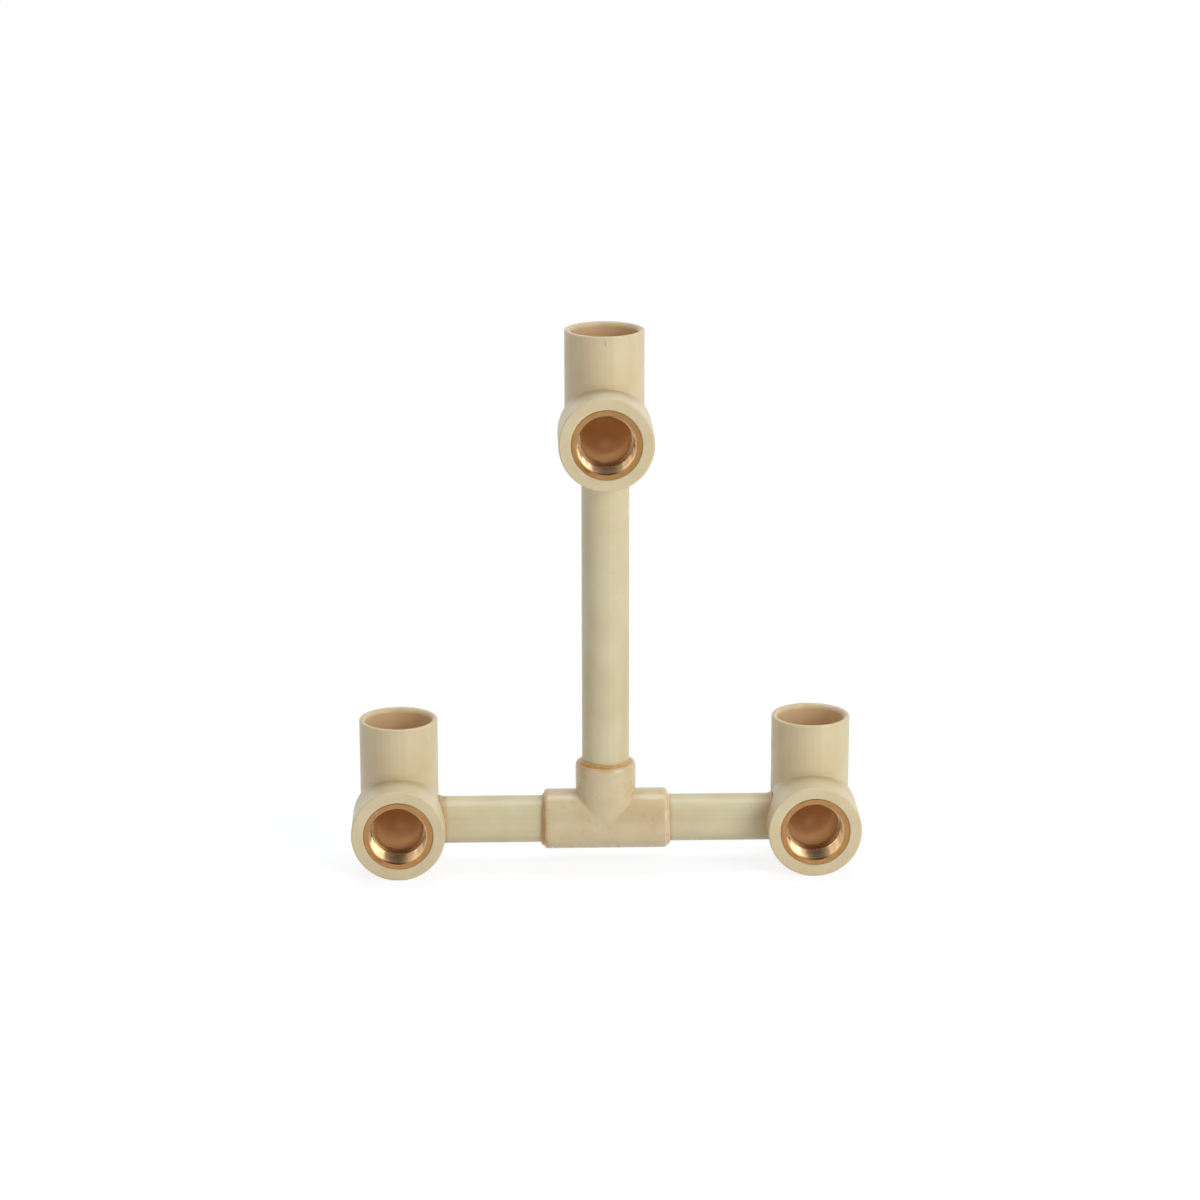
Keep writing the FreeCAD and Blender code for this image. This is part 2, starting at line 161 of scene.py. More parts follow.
def elbow_field(points, seat):
    """Signed distance to the elbow moulding; seat is the way that its spacer pipe leaves."""
    x, y, z = points[..., 0], points[..., 1], points[..., 2]
    round_y = np.hypot(x, z)
    round_z = np.hypot(x, y - SOCKET_AXIS)
    leg = np.sqrt(x * x + z * z + np.maximum(y - SOCKET_AXIS, 0) ** 2)
    upright = np.sqrt(x * x + (y - SOCKET_AXIS) ** 2 + np.minimum(z, 0) ** 2)
    collar = soft_max(round_y - COLLAR_RADIUS, y - COLLAR_LENGTH, COLLAR_BACK_ROUND)
    heel = soft_min(leg - SOCKET_OUTER, upright - SOCKET_OUTER, HEEL_BLEND)
    outside = soft_min(collar, heel, CREASE_BLEND)
    outside = soft_max(outside, -y, FACE_ROUND)
    outside = soft_max(outside, z - SOCKET_RISE, TOP_ROUND)

    lead_slope = SOCKET_LEAD_IN / SOCKET_LEAD_HEIGHT
    lead = round_z - SOCKET_RADIUS - (z - SOCKET_RISE + SOCKET_LEAD_HEIGHT) * lead_slope
    wall = soft_min(round_z - SOCKET_RADIUS, lead, LEAD_BLEND)
    socket = soft_max(wall, SOCKET_STOP - z, STOP_BLEND)
    waterway = soft_min(upright - WATERWAY, leg - WATERWAY, WATERWAY_BLEND)
    cavity = soft_min(socket, waterway, STOP_BLEND)

    rim = np.maximum(round_y - RIM_RADIUS, y - BAND_END)
    band = np.maximum(np.maximum(round_y - BAND_RADIUS, y - BAND_END), RIM_LENGTH - y)
    neck = np.maximum(round_y - NECK_RADIUS, y - INSERT_LENGTH)
    cavity = np.minimum(cavity, np.minimum(rim, np.minimum(band, neck)))
    along = x * seat[0] + z * seat[2]
    across = np.hypot(x * (1 - abs(seat[0])) + z * (1 - abs(seat[2])), y - PIPE_PLANE)
    cavity = np.minimum(cavity, np.maximum(across - SEAT_RADIUS, SEAT_FLOOR - along))
    return soft_max(outside, -cavity, CUT_ROUND)


def tee_field(points):
    """Signed distance to the tee, round the crossing of its two axes."""
    x, y, z = points[..., 0], points[..., 1], points[..., 2]
    round_x, round_z = np.hypot(y, z), np.hypot(x, y)
    run = soft_max(round_x - TEE_RADIUS, np.abs(x) - TEE_HALF, TEE_END_ROUND)
    branch = soft_max(round_z - TEE_RADIUS, z - TEE_RISE, TEE_END_ROUND)
    outside = soft_min(run, soft_max(branch, -z, 0.1), TEE_VALLEY_BLEND)
    run_socket = mouth_field(round_x, np.abs(x), TEE_HALF)
    branch_socket = mouth_field(round_z, z, TEE_RISE)
    bores = np.minimum(np.maximum(round_x - TEE_RUN_BORE, np.abs(x) - TEE_HALF),
                       np.maximum(round_z - TEE_BRANCH_BORE, -z))
    cavity = np.minimum(bores, np.minimum(run_socket, branch_socket))
    return soft_max(outside, -cavity, CUT_ROUND)


def mouth_field(reach, along, end):
    """A tee socket: straight wall, stop at its floor and a lead-in at its mouth."""
    wall = reach - SEAT_RADIUS
    lead = reach - SEAT_RADIUS - (along - (end - TEE_LEAD_IN))
    return np.maximum(soft_min(wall, lead, LEAD_BLEND), end - TEE_SOCKET - along)


def slope_of(field, points):
    """The field's gradient by central differences."""
    reach = 0.02
    steps = np.eye(3) * reach
    return np.stack([(field(points + s) - field(points - s)) / (2 * reach) for s in steps], -1)


def settle(field, points, rounds=4):
    """Moves points onto the field's zero surface."""
    for _ in range(rounds):
        slope = slope_of(field, points)
        scale = np.maximum((slope ** 2).sum(-1), 0.25)
        points = points - slope * (np.clip(field(points), -0.4, 0.4) / scale)[:, None]
    return points


def surface_net(field, low, high, step):
    """Quads on the zero surface of a field: a vertex for each crossed cell, a quad for each
    crossed grid edge, spread evenly and settled on the surface."""
    axes = [np.arange(a, b + step, step) for a, b in zip(low, high)]
    grid = np.stack(np.meshgrid(*axes, indexing="ij"), -1)
    inside = field(grid) < 0
    count = sum(inside[i:i + inside.shape[0] - 1, j:j + inside.shape[1] - 1,
                       k:k + inside.shape[2] - 1].astype(np.int8)
                for i in (0, 1) for j in (0, 1) for k in (0, 1))
    crossed = (count > 0) & (count < 8)
    number = np.full(crossed.shape, -1)
    number[crossed] = np.arange(crossed.sum())
    points = grid[:-1, :-1, :-1][crossed] + step / 2
    quads = []
    for axis in range(3):
        along = np.moveaxis(inside, axis, 0)
        cells = np.moveaxis(number, axis, 0)
        flip = (along[:-1] != along[1:])[:, 1:-1, 1:-1]
        ring = [cells[:, :-1, :-1], cells[:, 1:, :-1], cells[:, 1:, 1:], cells[:, :-1, 1:]]
        quad = np.stack([c[flip] for c in ring], -1)
        outward = along[:-1][:, 1:-1, 1:-1][flip]
        quad[~outward] = quad[~outward][:, ::-1]
        if axis == 1:
            quad = quad[:, ::-1]
        quads.append(quad)
    quads = np.concatenate(quads)
    points = settle(field, points)
    for _ in range(3):
        points = settle(field, relax(points, quads), 2)
    return points, quads


def relax(points, quads):
    """Moves each vertex half way to the mean of its neighbours."""
    total = np.zeros_like(points)
    share = np.zeros(len(points))
    for a, b in ((0, 1), (1, 2), (2, 3), (3, 0)):
        for one, other in ((quads[:, a], quads[:, b]), (quads[:, b], quads[:, a])):
            np.add.at(total, one, points[other])
            np.add.at(share, one, 1)
    return points * 0.5 + total / np.maximum(share, 1)[:, None] * 0.5


# Meshes

def make_piece(name, points, faces, node, material, at=(0, 0, 0), turned=None):
    """A mesh object from points in millimetres, which stands for a node of the construction."""
    mesh = bpy.data.meshes.new(name)
    mesh.from_pydata((np.asarray(points) * MM).tolist(), [], np.asarray(faces).tolist())
    mesh.shade_smooth()
    thing = bpy.data.objects.new(name, mesh)
    bpy.context.scene.collection.objects.link(thing)
    thing.matrix_world = Matrix.Translation(at) @ (turned or Matrix.Identity(4))
    mesh.materials.append(material)
    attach(thing, "root")
    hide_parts(node)
    return thing


def net_piece(name, field, low, high, node, material, at):
    """A smooth moulding from a distance field, shaded with the field's own normals."""
    points, quads = surface_net(field, low, high, NET_STEP)
    thing = make_piece(name, points, quads, node, material, at)
    normals = slope_of(field, points)
    normals /= np.linalg.norm(normals, axis=-1)[:, None]
    thing.data.normals_split_custom_set_from_vertices(normals.tolist())


def turned_grid(radii, heights):
    """A closed grid turned about Z: radii is rows by steps round, heights has one per row."""
    rows, steps = radii.shape
    angles = np.arange(steps) * 2 * math.pi / steps
    tall = np.broadcast_to(np.asarray(heights, float)[:, None], radii.shape)
    points = np.stack([radii * np.cos(angles), radii * np.sin(angles), tall], -1).reshape(-1, 3)
    row, step = np.meshgrid(np.arange(rows), np.arange(steps), indexing="ij")
    next_row, next_step = (row + 1) % rows, (step + 1) % steps
    faces = np.stack([row * steps + step, row * steps + next_step,
                      next_row * steps + next_step, next_row * steps + step], -1)
    return points, faces.reshape(-1, 4)


def direction_matrix(direction):
    """Turns local +Z to a direction of the frame."""
    return Vector(direction).to_track_quat("Z", "Y").to_matrix().to_4x4()


def make_elbow(side, seat, material):
    """One elbow moulding with its collar, heel and upright socket."""
    low = (-COLLAR_RADIUS - 1, -1, -COLLAR_RADIUS - 1)
    high = (COLLAR_RADIUS + 1, SOCKET_AXIS + SOCKET_OUTER + 1, SOCKET_RISE + 1)
    net_piece(f"elbow_{side}_moulding", lambda p: elbow_field(p, seat), low, high,
              "elbow_" + side, material, centre_of(side))


def make_tee(material):
    """The tee that ties the three spacer pipes."""
    low = (-TEE_HALF - 1, -TEE_RADIUS - 1, -TEE_RADIUS - 1)
    high = (TEE_HALF + 1, TEE_RADIUS + 1, TEE_RISE + 1)
    net_piece("tee_moulding", tee_field, low, high, "tee", material, TEE_CENTRE)


def make_pipe(node, direction, material):
    """A spacer pipe with bevelled ends, turned about its own axis."""
    low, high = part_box(node)
    length = max(high - low) / MM
    profile = [(PIPE_BORE, 0), (PIPE_RADIUS - PIPE_BEVEL, 0), (PIPE_RADIUS, PIPE_BEVEL),
               (PIPE_RADIUS, length - PIPE_BEVEL), (PIPE_RADIUS - PIPE_BEVEL, length),
               (PIPE_BORE, length)]
    radii = np.repeat([[r] for r, _ in profile], ROUND_STEPS, axis=1)
    points, faces = turned_grid(radii, [h - length / 2 for _, h in profile])
    thing = make_piece(node + "_tube", points, faces, node, material,
                       (low + high) / 2, direction_matrix(direction))
    thing.data.set_sharp_from_angle(angle=math.radians(30))


def thread_relief(depth, angles):
    """How far the thread is cut into the wall at a depth and angle: a trapezoid helix."""
    turn = (depth / THREAD_PITCH - angles / (2 * math.pi) + 0.5) % 1
    ridge = 2 * np.abs(turn - 0.5)
    cut = np.clip(1.35 * ridge - 0.12, 0, 1)
    cut = cut * cut * (3 - 2 * cut) * 0.35 + cut * 0.65
    entry = np.clip((LIP_START - 0.3 - depth) / THREAD_PITCH, 0, 1)
    return THREAD_DEPTH * cut * entry


def knurl_relief(angles):
    """How far the anchor bands are notched at an angle."""
    pitch = 2 * math.pi / KNURLS
    off = np.abs((angles + pitch / 2) % pitch - pitch / 2) * BAND_RADIUS
    return np.clip(KNURL_DEPTH - off, 0, None)


def make_insert(side, material):
    """A brass insert: rim, knurled bands, neck, lip and a helical inside thread."""
    angles = np.arange(ROUND_STEPS) * 2 * math.pi / ROUND_STEPS
    edge = 0.15
    rows = [(MOUTH_RADIUS + edge, 0), (RIM_RADIUS - edge, 0), (RIM_RADIUS, edge),
            (RIM_RADIUS, RIM_LENGTH)]
    bands = [(RIM_LENGTH, BAND_GROOVE[0]), (BAND_GROOVE[1], BAND_END)]
    knurled = set()
    for start, end in bands:
        knurled |= {len(rows), len(rows) + 1}
        rows += [(BAND_RADIUS, start), (BAND_RADIUS, end)]
        if end != BAND_END:
            rows += [(RIM_RADIUS, end), (RIM_RADIUS, bands[1][0])]
    rows += [(NECK_RADIUS, BAND_END), (NECK_RADIUS, INSERT_LENGTH), (WATERWAY, INSERT_LENGTH),
             (WATERWAY, LIP_START + edge), (WATERWAY + edge, LIP_START)]
    radii = [np.full(ROUND_STEPS, r) - (knurl_relief(angles) if i in knurled else 0)
             for i, (r, _) in enumerate(rows)]
    heights = [d for _, d in rows]
    for depth in np.arange(LIP_START - 0.02, 0.05, -THREAD_PITCH / THREAD_ROWS):
        cone = MOUTH_RADIUS + 0.1 - depth
        radii.append(np.maximum(THREAD_MINOR + thread_relief(depth, angles), cone))
        heights.append(depth)
    points, faces = turned_grid(np.array(radii), heights)
    thing = make_piece(f"insert_{side}_thread", points, faces, "insert_" + side,
                       material, centre_of(side), direction_matrix((0, 1, 0)))
    thing.data.set_sharp_from_angle(angle=math.radians(40))


def wander(angles, seed, turns=(1, 2, 3, 5, 8, 13)):
    """A smooth random wave round a ring, from about -1 to 1."""
    draws = np.random.default_rng(seed)
    total = 0
    for k in turns:
        shift, size = draws.uniform(0, 2 * math.pi), draws.uniform(0.4, 1)
        total = total + np.sin(k * angles + shift) * size / k ** 0.5
    return total / 2.2


def make_bead(node, direction, at, seed, base, fat, sunk, heavy, material):
    """An uneven ring of cement round a pipe. base gives its height along the pipe at an angle,
    fat its thickness, and heavy the way of the frame on which most of it ran out; sunk is the
    share of it that lies below that height."""
    angles = np.arange(BEAD_STEPS) * 2 * math.pi / BEAD_STEPS
    pull = direction_matrix(direction).inverted().to_3x3() @ Vector(heavy)
    run = np.clip(np.cos(angles - math.atan2(pull.y, pull.x)), 0, 1) ** 2
    thick = fat * np.clip(0.8 + 0.22 * wander(angles, seed) + 0.75 * run, 0.5, 1.9)
    foot = base(angles) + 0.1 * wander(angles, seed + 50)
    across = np.arange(BEAD_RING) * 2 * math.pi / BEAD_RING
    reach = PIPE_RADIUS + thick[None, :] * (0.15 + 0.75 * np.cos(across)[:, None])
    height = foot[None, :] + thick[None, :] * (0.85 * np.sin(across)[:, None] - sunk)
    points = np.stack([reach * np.cos(angles), reach * np.sin(angles), height], -1).reshape(-1, 3)
    _, faces = turned_grid(reach, across)
    make_piece(node + "_bead", points, faces, node, material, at,
               direction_matrix(direction))


# Materials

def tone(red, green, blue):
    """A screen colour of 0 to 255 as linear light."""
    parts = [v / 255 for v in (red, green, blue)]
    return [v / 12.92 if v <= 0.04045 else ((v + 0.055) / 1.055) ** 2.4 for v in parts] + [1]


class Tree:
    """Short calls for building a material's nodes."""

    def __init__(self, name):
        self.material = bpy.data.materials.new(name)
        self.material.use_nodes = True
        self.nodes = self.material.node_tree.nodes
        self.links = self.material.node_tree.links
        self.shader = self.nodes["Principled BSDF"]
        self.place = self.nodes.new("ShaderNodeTexCoord").outputs["Object"]

    def node(self, kind, links=(), **values):
        """A node with its inputs linked or set by name."""
        made = self.nodes.new(kind)
        for name, value in values.items():
            setattr(made, name, value)
        for socket, value in dict(links).items():
            self.feed(made.inputs[socket], value)
        return made

    def feed(self, socket, value):
        """Links or sets one input."""
        if isinstance(value, bpy.types.NodeSocket):
            self.links.new(value, socket)
        else:
            socket.default_value = value

    def stretched(self, scale):
        """Object coordinates multiplied along each axis."""
        return self.node("ShaderNodeMapping", {"Vector": self.place, "Scale": scale}).outputs[0]

    def noise(self, scale, detail=3.0, vector=None, rough=0.5):
        """Noise with a number of features to the metre."""
        made = self.node("ShaderNodeTexNoise", {"Vector": vector or self.place, "Scale": scale,
                                                "Detail": detail, "Roughness": rough})
        return made.outputs["Fac"]

    def spread(self, value, low, high, to_low=0.0, to_high=1.0):
        """A value carried from one range to another, held at its ends."""
        made = self.node("ShaderNodeMapRange", {"Value": value, "From Min": low, "From Max": high,
                                                "To Min": to_low, "To Max": to_high})
        return made.outputs[0]

    def calc(self, kind, a, b=0.0):
        """Simple arithmetic on one or two values."""
        made = self.node("ShaderNodeMath", operation=kind)
        self.feed(made.inputs[0], a)
        self.feed(made.inputs[1], b)
        return made.outputs[0]

    def product(self, *values):
        """Values multiplied together."""
        total = values[0]
        for value in values[1:]:
            total = self.calc("MULTIPLY", total, value)
        return total

    def radius(self, a, b):
        """The distance from an axis, from the two coordinates across it."""
        return self.calc("SQRT", self.calc("ADD", self.product(a, a), self.product(b, b)))

    def axes(self):
        """The three object coordinates."""
        return self.node("ShaderNodeSeparateXYZ", {"Vector": self.place}).outputs

    def mix(self, share, a, b):
        """A colour between two colours."""
        made = self.node("ShaderNodeMix", data_type="RGBA")
        self.feed(made.inputs[0], share)
        self.feed(made.inputs[6], a)
        self.feed(made.inputs[7], b)
        return made.outputs[2]

    def bump(self, height, strength, distance):
        """Relief of a real depth in metres."""
        made = self.node("ShaderNodeBump", {"Height": height, "Strength": strength,
                                            "Distance": distance})
        self.links.new(made.outputs[0], self.shader.inputs["Normal"])

    def set(self, **values):
        """Inputs of the main shader, with spaces written as underscores."""
        for name, value in values.items():
            self.feed(self.shader.inputs[name.replace("_", " ")], value)


def tick_mark(tree, low, high, deep):
    """A short tick between two heights on the side that faces the room."""
    axes, soft = tree.axes(), 0.4
    line = tree.spread(tree.calc("ABSOLUTE", axes["X"]), 0.10 * MM, 0.35 * MM, 1, 0)
    above = tree.spread(axes["Z"], low * MM, (low + soft) * MM)
    below = tree.spread(axes["Z"], (high - soft) * MM, high * MM, 1, 0)
    front = tree.spread(axes["Y"], (deep - soft) * MM, deep * MM, 1, 0)
    return tree.product(line, above, below, front)


def end_stain(tree, half, reach, most):
    """How much cement has stained a pipe near its collar, which is at local +Z, and its tee;
    half is half the pipe's length and reach how far the stain comes out of the collar."""
    axes = tree.axes()
    hidden = 3.2
    collar = tree.spread(axes["Z"], (half - hidden - 0.3 - reach) * MM, (half - hidden) * MM,
                         0, most)
    tee = tree.spread(axes["Z"], (TEE_SOCKET + 0.3 - half) * MM, (TEE_SOCKET + 1.8 - half) * MM,
                      0.6, 0)
    return tree.calc("MAXIMUM", collar, tee)


def painted_crease_shade(tree):
    """How much painted shade darkens the top of a collar in front of the upright socket, in the
    crease where the socket shades it.
    """
    axes = tree.axes()
    toward = tree.spread(axes["Y"], 3 * MM, 12 * MM, 0, 0.26)
    over = tree.spread(axes["Z"], 10 * MM, 14 * MM)
    under = tree.spread(axes["Z"], 16.0 * MM, 17.5 * MM, 1, 0)
    front = tree.spread(axes["Y"], 13 * MM, 16 * MM, 1, 0)
    return tree.product(toward, over, under, front)


def stained_ends(tree, body):
    """Cement has stained the tee's rounded ends: brown at the left, pale at the right and
    orange round the branch, most of all on its left."""
    axes = tree.axes()
    patches = tree.spread(tree.noise(180, 3), 0.3, 0.6, 0.4, 1.0)
    left = tree.spread(axes["X"], -(TEE_HALF - 0.3) * MM, -(TEE_HALF - 2.2) * MM, 0.75, 0)
    low = tree.spread(axes["Z"], -8 * MM, 4 * MM, 1.0, 0.55)
    body = tree.mix(tree.product(left, patches, low), body, tone(196, 140, 82))
    right = tree.spread(axes["X"], (TEE_HALF - 1.9) * MM, (TEE_HALF - 1.3) * MM, 0, 0.4)
    body = tree.mix(tree.product(right, patches), body, tone(226, 196, 160))
    top = tree.spread(axes["Z"], (TEE_RISE - 1.4) * MM, (TEE_RISE - 0.2) * MM, 0, 0.6)
    leftward = tree.spread(axes["X"], -8 * MM, 8 * MM, 1.0, 0.45)
    return tree.mix(tree.product(top, leftward, patches), body, tone(208, 156, 92))


def cpvc_material(name, light, dark, mark=None, streak=None, inside=False, stain=None,
                  ends=False, rough=(0.32, 0.46), peel=0.12):
    """Cream CPVC. streak is for extruded pipe, with lines along its length; inside for an elbow,
    with painted amber light and shade where light only comes through the wall, and painted shade
    on the collar's top in front of the socket; mark, stain and ends are as in tick_mark,
    end_stain and stained_ends; peel is the depth of the surface's faint unevenness."""
    tree = Tree(name)
    cloud = tree.noise(90, 3)
    grain = tree.noise(2600, 2)
    body = tree.mix(tree.spread(cloud, 0.35, 0.65), light, dark)
    body = tree.mix(tree.spread(grain, 0.45, 0.75, 0, 0.25), body, tone(228, 214, 180))
    specks = tree.spread(tree.noise(1100, 1), 0.76, 0.80, 0, 0.4)
    body = tree.mix(specks, body, tone(150, 132, 100))
    if inside:
        flow = tree.noise(1.0, 3, tree.stretched((420, 420, 9)), 0.6)
        upright = tree.spread(tree.axes()["Z"], 13 * MM, 19 * MM)
        flow = tree.product(upright, tree.spread(flow, 0.4, 0.7, 0, 0.4))
        body = tree.mix(flow, body, tone(208, 182, 144))
        # Painted shade: the collar's top is darkened in the crease in front of the upright socket.
        body = tree.mix(painted_crease_shade(tree), body, tone(178, 150, 108))
        # Painted light and shade: amber inside the socket and waterway, for light through the
        # wall.
        body = painted_amber_inside(tree, body)
    if stain:
        body = tree.mix(end_stain(tree, *stain), body, tone(184, 146, 98))
    if ends:
        body = stained_ends(tree, body)
    if mark:
        body = tree.mix(tree.product(tick_mark(tree, *mark), 0.35), body, tone(120, 98, 66))
    relief = tree.noise(700, 3)
    if streak:
        lines = tree.noise(1.0, 4, tree.stretched(streak), 0.6)
        body = tree.mix(tree.spread(lines, 0.4, 0.7, 0, 0.35), body, tone(206, 188, 146))
        relief = tree.calc("ADD", relief, tree.product(lines, 2.0))
    tree.set(Base_Color=body, Roughness=tree.spread(tree.noise(260, 3), 0.3, 0.7, *rough),
             IOR=1.54, Subsurface_Weight=0.12, Subsurface_Scale=0.002,
             Subsurface_Radius=(1.0, 0.62, 0.3))
    tree.bump(relief, peel, 0.0002)
    return tree.material


def painted_amber_inside(tree, body):
    """Paints amber light and shade into the colour, for light that only comes through the wall:
    amber down the socket, stronger with depth, and deeper still in the waterway.
    """
    axes = tree.axes()
    from_axis = tree.calc("SUBTRACT", axes["Y"], SOCKET_AXIS * MM)
    bore = tree.spread(tree.radius(axes["X"], from_axis), (SOCKET_RADIUS + 0.06) * MM,
                       (SOCKET_RADIUS + 0.4) * MM, 1, 0)
    depth = tree.spread(axes["Z"], (SOCKET_RISE - 0.5) * MM, SOCKET_STOP * MM, 0.3, 1)
    upper = tree.spread(axes["Z"], 10 * MM, 12 * MM)
    socket = tree.product(bore, depth, upper, 0.75)
    throat = tree.product(tree.spread(tree.radius(axes["X"], axes["Z"]), 9.4 * MM, 9.9 * MM, 1, 0),
                          tree.spread(axes["Y"], 9 * MM, 12 * MM),
                          tree.spread(axes["Y"], 34.6 * MM, 35.0 * MM, 1, 0))
    # Painted light and shade: amber down the socket, stronger with depth, and in the waterway's
    # throat.
    body = tree.mix(socket, body, tone(238, 186, 138))
    return tree.mix(throat, body, tone(239, 192, 132))


def brass_material():
    """Turned brass: a slightly tarnished rim painted browner and darker than the bore as painted
    shade, and a threaded bore painted paler as a painted highlight.
    """
    tree = Tree("brass_turned")
    axes = tree.axes()
    tarnish = tree.noise(300, 3)
    # Painted shade: the rim is a darker brown than the bore, with random tarnish in it.
    rim = tree.mix(tree.spread(tarnish, 0.4, 0.75, 0, 0.5), tone(178, 134, 86), tone(160, 114, 68))
    bore = tree.spread(tree.radius(axes["X"], axes["Y"]), (MOUTH_RADIUS - 0.35) * MM,
                       (MOUTH_RADIUS + 0.1) * MM, 1, 0)
    # Painted highlight: the threaded bore is a paler brass than the rim.
    tree.set(Base_Color=tree.mix(bore, rim, tone(212, 182, 143)), Metallic=1.0,
             Roughness=tree.spread(tarnish, 0.3, 0.8, 0.26, 0.34))
    return tree.material


def cement_material(name, thin_tone, thick_tone):
    """Dried solvent cement, of one colour where it is thin and another where it lies thick."""
    tree = Tree(name)
    axes = tree.axes()
    thick = tree.spread(tree.radius(axes["X"], axes["Y"]), (PIPE_RADIUS + 0.45) * MM,
                        (PIPE_RADIUS + 1.0) * MM)
    patches = tree.spread(tree.noise(220, 3), 0.35, 0.65, -0.25, 0.25)
    thick = tree.spread(tree.calc("ADD", thick, patches), 0.0, 1.0)
    tree.set(Base_Color=tree.mix(thick, thin_tone, thick_tone), Roughness=0.28, IOR=1.48,
             Subsurface_Weight=0.25, Subsurface_Scale=0.001)
    tree.bump(tree.noise(1500, 2), 0.25, 0.0002)
    return tree.material


def floor_material():
    """A white floor that shows a faint shadow to the camera and bounces plain light."""
    tree = Tree("floor_white")
    nodes, links = tree.nodes, tree.links
    nodes.remove(tree.shader)
    bounce = tree.node("ShaderNodeBsdfDiffuse", {"Color": (0.8, 0.8, 0.8, 1)})
    faint = tree.node("ShaderNodeBsdfDiffuse", {"Color": (0.25, 0.25, 0.25, 1)})
    glow = tree.node("ShaderNodeEmission", {"Color": (1, 1, 1, 1), "Strength": FLOOR_GLOW})
    near = tree.node("ShaderNodeAddShader")
    links.new(faint.outputs[0], near.inputs[0])
    links.new(glow.outputs[0], near.inputs[1])
    white = tree.node("ShaderNodeEmission", {"Color": (1, 1, 1, 1), "Strength": 1.0})
    reach = tree.node("ShaderNodeVectorMath", operation="LENGTH")
    links.new(tree.place, reach.inputs[0])
    seen = tree.node("ShaderNodeMixShader")
    links.new(tree.spread(reach.outputs["Value"], *FLOOR_FADE), seen.inputs[0])
    links.new(near.outputs[0], seen.inputs[1])
    links.new(white.outputs[0], seen.inputs[2])
    path = nodes.new("ShaderNodeLightPath")
    shown = tree.calc("MAXIMUM", path.outputs["Is Camera Ray"], path.outputs["Is Glossy Ray"])
    choice = tree.node("ShaderNodeMixShader")
    links.new(shown, choice.inputs[0])
    links.new(bounce.outputs[0], choice.inputs[1])
    links.new(seen.outputs[0], choice.inputs[2])
    links.new(choice.outputs[0], nodes["Material Output"].inputs[0])
    return tree.material


# Set, light and camera

def make_floor():
    """A wide pale floor under the two inlet collars."""
    mesh = bpy.data.meshes.new("floor")
    half = 6.0
    corners = [(-half, -half, 0), (half, -half, 0), (half, half, 0), (-half, half, 0)]
    mesh.from_pydata(corners, [], [(0, 1, 2, 3)])
    mesh.materials.append(floor_material())
    floor = bpy.data.objects.new("floor", mesh)
    bpy.context.scene.collection.objects.link(floor)


def make_light(name, place, size, power, colour=(1, 1, 1)):
    """A soft light aimed at the middle of the part."""
    lamp = bpy.data.lights.new(name, "AREA")
    lamp.shape = "RECTANGLE"
    lamp.size, lamp.size_y = size
    lamp.energy = power
    lamp.color = colour
    light = bpy.data.objects.new(name, lamp)
    bpy.context.scene.collection.objects.link(light)
    light.location = place
    aim = LIGHT_AIM - Vector(place)
    light.rotation_mode = "QUATERNION"
    light.rotation_quaternion = aim.to_track_quat("-Z", "Y")


def make_world():
    """A white surround for the camera and for reflections, dimmer as a light on the part.
    Reflections show the dark of the room on the camera's side, with one bright panel in it."""
    world = bpy.data.worlds.new("studio")
    bpy.context.scene.world = world
    world.use_nodes = True
    nodes, links = world.node_tree.nodes, world.node_tree.links

    def greater(a, b):
        made = nodes.new("ShaderNodeMath")
        made.operation = "MAXIMUM"
        links.new(a, made.inputs[0])
        links.new(b, made.inputs[1])
        return made.outputs[0]

    def spread(value, low, high, to_low=0.0):
        made = nodes.new("ShaderNodeMapRange")
        for name, end in (("From Min", low), ("From Max", high), ("To Min", to_low)):
            made.inputs[name].default_value = end
        links.new(value, made.inputs["Value"])
        return made.outputs[0]

    path = nodes.new("ShaderNodeLightPath").outputs
    shown = greater(greater(path["Is Camera Ray"], path["Is Glossy Ray"]),
                    path["Is Transmission Ray"])
    place = nodes.new("ShaderNodeTexCoord").outputs["Generated"]
    axes = nodes.new("ShaderNodeSeparateXYZ")
    links.new(place, axes.inputs[0])
    toward = nodes.new("ShaderNodeVectorMath")
    toward.operation = "DOT_PRODUCT"
    toward.inputs[1].default_value = PANEL_WAY
    links.new(place, toward.inputs[0])
    walls = greater(spread(axes.outputs["Y"], -0.7, 0.0, ROOM),
                    spread(toward.outputs["Value"], *PANEL_EDGE))
    level = nodes.new("ShaderNodeMix")
    level.inputs[2].default_value = AMBIENT
    links.new(shown, level.inputs[0])
    links.new(greater(walls, path["Is Camera Ray"]), level.inputs[3])
    links.new(level.outputs[0], nodes["Background"].inputs["Strength"])
    nodes["Background"].inputs["Color"].default_value = (1, 1, 1, 1)


def make_camera():
    """The camera at the photograph's place, with a 36 mm sensor across the square frame."""
    data = bpy.data.cameras.new("camera")
    data.lens = CAMERA_LENS
    data.sensor_width = 36.0
    data.clip_start = 0.05
    camera = bpy.data.objects.new("camera", data)
    bpy.context.scene.collection.objects.link(camera)
    flat = math.cos(CAMERA_ELEVATION)
    back = Vector((math.sin(CAMERA_YAW) * flat, -math.cos(CAMERA_YAW) * flat,
                   math.sin(CAMERA_ELEVATION)))
    camera.location = CAMERA_AIM + back * CAMERA_DISTANCE
    camera.rotation_mode = "QUATERNION"
    turn = (-back).to_track_quat("-Z", "Y")
    camera.rotation_quaternion = turn @ Matrix.Rotation(CAMERA_ROLL, 3, "Z").to_quaternion()
    bpy.context.scene.camera = camera


make_camera()
bpy.context.scene.view_settings.view_transform = "Standard"
make_world()
make_floor()
make_light("key", (1.05, -1.0, 0.52), (0.8, 1.2), 14.5)
make_light("fill", (-0.85, -1.05, 0.5), (0.6, 0.9), 2.0)
make_light("top", (0.0, 0.3, 1.2), (0.9, 0.45), 6.0, (0.80, 0.89, 1.0))

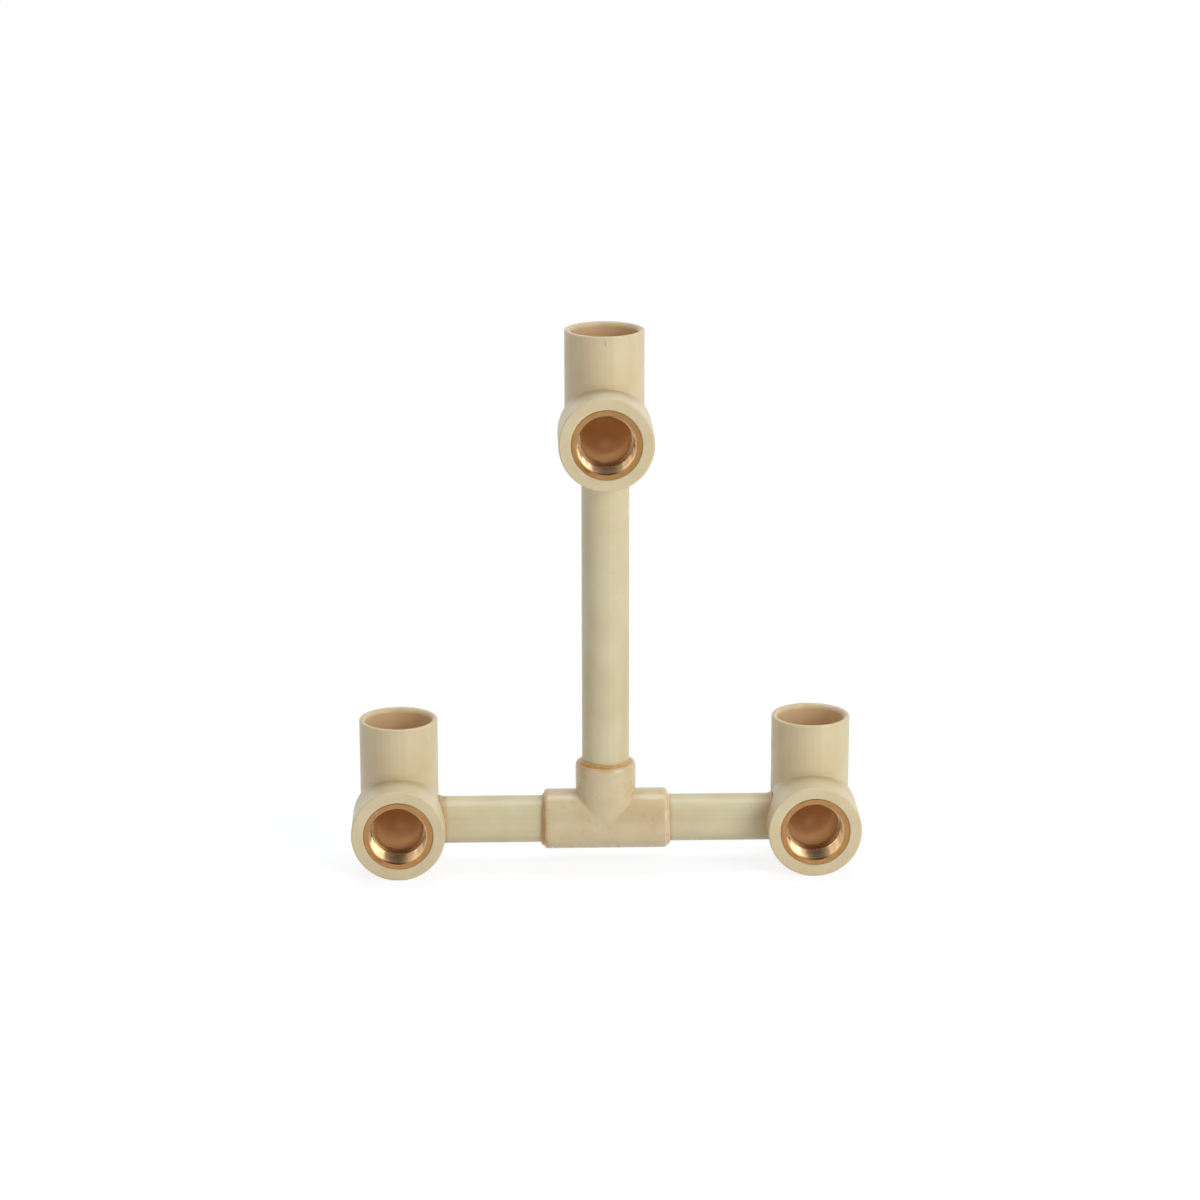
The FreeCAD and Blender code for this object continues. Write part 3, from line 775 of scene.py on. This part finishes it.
PIPE_TONES = (tone(219, 208, 170), tone(212, 198, 158))
ELBOW_TONES = (tone(222, 206, 167), tone(215, 196, 155))
TEE_TONES = (tone(217, 199, 160), tone(212, 188, 146))
STREAK = (900, 900, 4)
elbow_plastic = cpvc_material("cpvc_elbow", *ELBOW_TONES, inside=True)
marked_plastic = cpvc_material("cpvc_elbow_marked", *ELBOW_TONES, inside=True,
                               mark=(30.0, 32.2, SOCKET_AXIS - SOCKET_RADIUS - 1.0))
tee_plastic = cpvc_material("cpvc_tee", *TEE_TONES, ends=True, rough=(0.27, 0.285), peel=0.02)
left_plastic = cpvc_material("cpvc_spacer_left", *PIPE_TONES, streak=STREAK,
                             stain=(24.4, 1.2, 0.7))
right_plastic = cpvc_material("cpvc_spacer_right", *PIPE_TONES, streak=STREAK,
                              stain=(24.4, 5.0, 0.6))
riser_plastic = cpvc_material("cpvc_riser", *PIPE_TONES, streak=STREAK, mark=(48.5, 50.5, 0),
                              stain=(56.6, 1.0, 0.5))
brass = brass_material()
amber_cement = cement_material("cement_amber", tone(214, 174, 116), tone(208, 140, 54))
pale_cement = cement_material("cement_pale", tone(228, 202, 166), tone(228, 192, 154))
brown_cement = cement_material("cement_brown", tone(204, 170, 126), tone(190, 140, 88))

for side, seat in SIDES.items():
    make_elbow(side, seat, marked_plastic if side == "upper" else elbow_plastic)
    make_insert(side, brass)
make_tee(tee_plastic)
make_pipe("spacer_pipe_left", (-1, 0, 0), left_plastic)
make_pipe("spacer_pipe_right", (1, 0, 0), right_plastic)
make_pipe("riser_pipe", (0, 0, 1), riser_plastic)

# The cement at the collars. The collar's round falls away from the pipe to both sides of the
# plane through the collar's axis, and heavy is the way on which most cement ran out.
HEAVY = {"left": (0, -0.6, 0.8), "right": (0, -0.5, 0.6), "upper": (0.4, -0.4, 0)}
for seed, (side, seat) in enumerate(SIDES.items(), 1):
    middle = centre_of(side) + Vector((0, PIPE_PLANE * MM, 0))
    upright = direction_matrix(seat).inverted().to_3x3() @ Vector((0, 0, 1))
    lift = 0.0 if side == "upper" else math.atan2(upright.y, upright.x)
    saddle = lambda a, lift=lift: np.sqrt(
        COLLAR_RADIUS ** 2 - (PIPE_RADIUS * np.cos(a - lift)) ** 2) + 0.05
    make_bead("cement_elbow_" + side, seat, middle, seed, saddle, 0.6, 0.1, HEAVY[side],
              brown_cement)

# The cement at the tee's three mouths.
MOUTHS = {"left": ((-1, 0, 0), TEE_HALF, (0, -0.6, -0.8), amber_cement),
          "right": ((1, 0, 0), TEE_HALF, (0, -0.2, -1), pale_cement),
          "top": ((0, 0, 1), TEE_RISE, (-0.6, -0.8, 0), amber_cement)}
for seed, (side, (way, reach, heavy, cement)) in enumerate(MOUTHS.items(), 11):
    flat = lambda a, reach=reach: np.full(a.shape, reach + 0.05)
    make_bead("cement_tee_" + side, way, TEE_CENTRE, seed, flat, 1.0, 0.25, heavy, cement)
